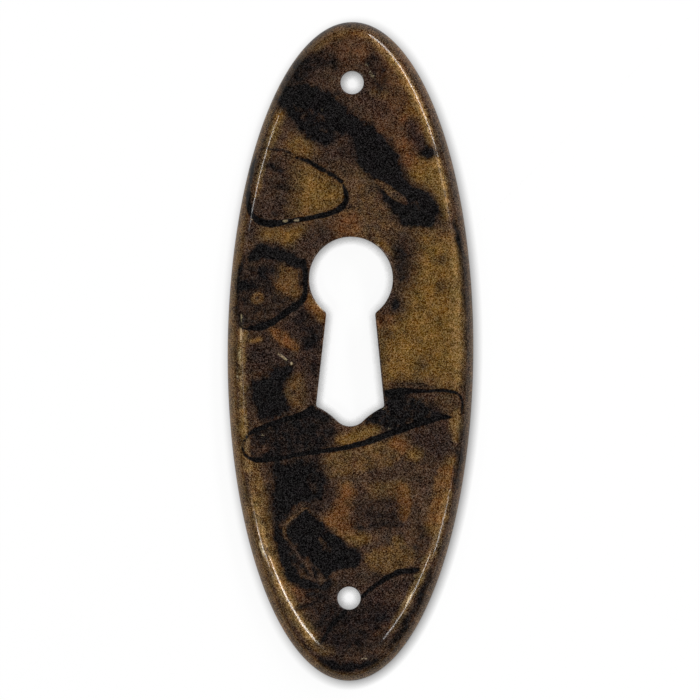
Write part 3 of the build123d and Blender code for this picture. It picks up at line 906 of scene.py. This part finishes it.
shade = add(tree, "MapRange", {}, {
    "Value": cloud.outputs["Fac"], "From Min": 0.3, "From Max": 0.7,
    "To Min": 1 - cloud_shade, "To Max": 1 + cloud_shade,
}).outputs["Result"]
tint = add(tree, "MapRange", {"data_type": "FLOAT_VECTOR"}, {
    "Vector": cloud.outputs["Color"], 7: (0.3,) * 3, 8: (0.7,) * 3,
    9: (1 - cloud_tint,) * 3, 10: (1 + cloud_tint,) * 3,
}).outputs["Vector"]
for change in (shade, tint):
    colour = add(tree, "Mix", {"data_type": "RGBA", "blend_type": "MULTIPLY", "clamp_result": True}, {
        0: 1.0, 6: colour, 7: change,
    }).outputs[2]

# The grain's specks are added as the eye sees brightness, to red, green and blue alike
lighter_or_darker = add(tree, "MapRange", {}, {
    "Value": grain, "To Min": -1.0, "To Max": 1.0,
}).outputs["Result"]
speckle = add(tree, "Math", {"operation": "MULTIPLY"}, {0: lighter_or_darker, 1: specks}).outputs[0]
colour = add(tree, "Gamma", {}, {"Color": colour, "Gamma": 1 / eye_gamma}).outputs["Color"]
colour = add(tree, "Mix", {"data_type": "RGBA", "blend_type": "ADD", "clamp_result": True}, {
    0: 1.0, 6: colour, 7: speckle,
}).outputs[2]
colour = add(tree, "Gamma", {}, {"Color": colour, "Gamma": eye_gamma}).outputs["Color"]
roughness = add(tree, "MapRange", {}, {
    "Value": ragged.outputs["Fac"], "From Min": 0.3, "From Max": 0.7,
    "To Min": smoothest, "To Max": roughest,
}).outputs["Result"]
lacquer_waves = add(tree, "Bump", {}, {
    "Strength": 1.0, "Distance": ripple_height, "Height": ripple.outputs["Fac"],
}).outputs["Normal"]
relief = add(tree, "Bump", {}, {
    "Strength": grain_relief, "Distance": grain_height, "Height": grain, "Normal": lacquer_waves,
}).outputs["Normal"]
for socket, value in (
    ("Base Color", colour), ("Metallic", metal), ("Roughness", roughness),
    ("Normal", relief), ("Coat Normal", lacquer_waves),
):
    tree.links.new(value, shader.inputs[socket])
shader.inputs["Specular IOR Level"].default_value = 0.0
shader.inputs["Coat Weight"].default_value = lacquer_share
shader.inputs["Coat Roughness"].default_value = lacquer_roughness
plate.data.materials.append(patinated_brass)

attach(plate, "root")
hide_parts("escutcheon_plate")


# Paper: the white sheet that the plate lies on. It shows white to the camera, keeps a part of the
# plate's shadow, and darkens where the plate's edge touches it and under the edges of its holes,
# a little more on the side away from the upper left.
paper_size = 3.0
white_share = 0.92
reach_outside = 0.9 * mm  # how far the plate shades the paper round it
reach_in_holes = 1.6 * mm  # and the same below the holes, whose edges lie higher
depth_outside = 1.2  # how dark that shade is, as a power of what stays open to the sky
depth_in_holes = 8.5
open_side = (-0.33, 0.47, 0.82)  # the shade leans away from it
bpy.ops.object.select_all(action="DESELECT")
bpy.ops.mesh.primitive_plane_add(size=paper_size)
paper = bpy.context.object
paper.name = "white_paper"
paper_white = bpy.data.materials.new("matt_white_paper")
paper_white.use_nodes = True
paper_tree = paper_white.node_tree
paper_shader = paper_tree.nodes["Principled BSDF"]
paper_shader.inputs["Base Color"].default_value = linear("#FCFCFC")
paper_shader.inputs["Roughness"].default_value = 0.9
paper_shader.inputs["Specular IOR Level"].default_value = 0.0
rays = add(paper_tree, "LightPath", {}, {})
seen = rays.outputs["Is Camera Ray"]
for other_ray in ("Is Glossy Ray", "Is Transmission Ray"):
    seen = add(paper_tree, "Math", {"operation": "MAXIMUM"}, {
        0: seen, 1: rays.outputs[other_ray],
    }).outputs[0]
white_part = add(paper_tree, "Math", {"operation": "MULTIPLY"}, {0: seen, 1: white_share}).outputs[0]
paper_place = add(paper_tree, "TexCoord", {}, {}).outputs["Object"]
on_oval = add(paper_tree, "VectorMath", {"operation": "MULTIPLY"}, {
    0: paper_place, 1: (1 / half_width, 1 / half_length, 0),
}).outputs["Vector"]
from_centre = add(paper_tree, "VectorMath", {"operation": "LENGTH"}, {0: on_oval}).outputs["Value"]
in_holes = add(paper_tree, "Math", {"operation": "LESS_THAN"}, {0: from_centre, 1: 1.0}).outputs[0]
shade_reach = add(paper_tree, "MapRange", {}, {
    "Value": in_holes, "To Min": reach_outside, "To Max": reach_in_holes,
}).outputs["Result"]
shade_depth = add(paper_tree, "MapRange", {}, {
    "Value": in_holes, "To Min": depth_outside, "To Max": depth_in_holes,
}).outputs["Result"]
leaning = add(paper_tree, "CombineXYZ", {}, dict(zip("XYZ", open_side))).outputs["Vector"]
still_open = add(paper_tree, "AmbientOcclusion", {}, {
    "Distance": shade_reach, "Normal": leaning,
}).outputs["Color"]
shaded_white = add(paper_tree, "Gamma", {}, {"Color": still_open, "Gamma": shade_depth}).outputs["Color"]
white = add(paper_tree, "Emission", {}, {"Color": shaded_white}).outputs["Emission"]
paper_look = add(paper_tree, "MixShader", {}, {
    0: white_part, 1: paper_shader.outputs["BSDF"], 2: white,
}).outputs["Shader"]
paper_tree.links.new(paper_look, paper_tree.nodes["Material Output"].inputs["Surface"])
paper.data.materials.append(paper_white)


# Studio lamps: soft boxes round the table, each set by its two ends, as a bearing from +X and an
# angle off the vertical in degrees, then its depth in metres and its brightness. Their reflections
# draw the lines along the rim, and the room above the camera stays dim.
lamp_distance = 0.6
room_brightness = 0.06
soft_boxes = {
    "upper_right": ((21, 52.5), (68, 73), 0.065, 28),
    "right_shoulder": ((13.5, 40), (20.5, 43), 0.09, 5),
    "upper_left": ((154.7, 54), (168, 54), 0.045, 24),
    "lower_left": ((-129.4, 32.5), (-153.4, 36), 0.06, 46),
    "lower_left_side": ((-155.5, 52), (-163.5, 58), 0.045, 30),
    "left_side": ((178, 36.7), (-172.9, 36.7), 0.03, 8),
    "lower_right": ((-24.3, 33), (-49, 31), 0.04, 25),
    "lower_right_side": ((-13.6, 60), (-21.4, 50), 0.035, 19),
}


def towards(bearing, off_vertical):
    """The direction from the plate at that bearing and angle off the vertical."""
    lean = math.radians(off_vertical)
    turn = math.radians(bearing)
    return Vector((
        math.sin(lean) * math.cos(turn), math.sin(lean) * math.sin(turn), math.cos(lean),
    ))


for lamp_name, (first_end, second_end, lamp_depth, brightness) in soft_boxes.items():
    lamp_start = towards(*first_end) * lamp_distance
    lamp_end = towards(*second_end) * lamp_distance
    bpy.ops.object.light_add(type="AREA", location=(lamp_start + lamp_end) / 2)
    lamp = bpy.context.object
    lamp.name = "lamp_" + lamp_name
    long_side = (lamp_end - lamp_start).normalized()
    short_side = lamp.location.cross(long_side).normalized()
    facing_back = long_side.cross(short_side)
    lamp.rotation_euler = Matrix((long_side, short_side, facing_back)).transposed().to_euler()
    lamp.data.shape = "RECTANGLE"
    lamp.data.size = (lamp_end - lamp_start).length
    lamp.data.size_y = lamp_depth
    lamp.data.energy = brightness * math.pi * lamp.data.size * lamp.data.size_y

world = bpy.data.worlds.new("dim_room")
bpy.context.scene.world = world
world.use_nodes = True
room = world.node_tree.nodes["Background"]
room.inputs["Color"].default_value = linear("#FFFFFF")
room.inputs["Strength"].default_value = room_brightness


# Camera: straight above the plate, as the photograph was taken, with the plate's centre and tilt
# where they lie in the picture.
picture_pixels = 700
pixels_per_mm = 10.975
plate_centre_pixel = (350.5, 351.4)
plate_tilt = 0.00613  # radians, the top leaning to the right
camera_distance = 0.5
sensor_width = 36.0
view_width = picture_pixels / pixels_per_mm * mm
camera_data = bpy.data.cameras.new("copy_stand_camera")
camera_data.sensor_width = sensor_width
camera_data.lens = sensor_width * camera_distance / view_width
camera = bpy.data.objects.new("copy_stand_camera", camera_data)
bpy.context.collection.objects.link(camera)
shift_right = (picture_pixels / 2 - plate_centre_pixel[0]) / pixels_per_mm * mm
shift_up = (plate_centre_pixel[1] - picture_pixels / 2) / pixels_per_mm * mm
camera.location = (shift_right, shift_up, camera_distance)
camera.rotation_euler = (0, 0, plate_tilt)
bpy.context.scene.camera = camera
bpy.context.scene.view_settings.view_transform = "Standard"
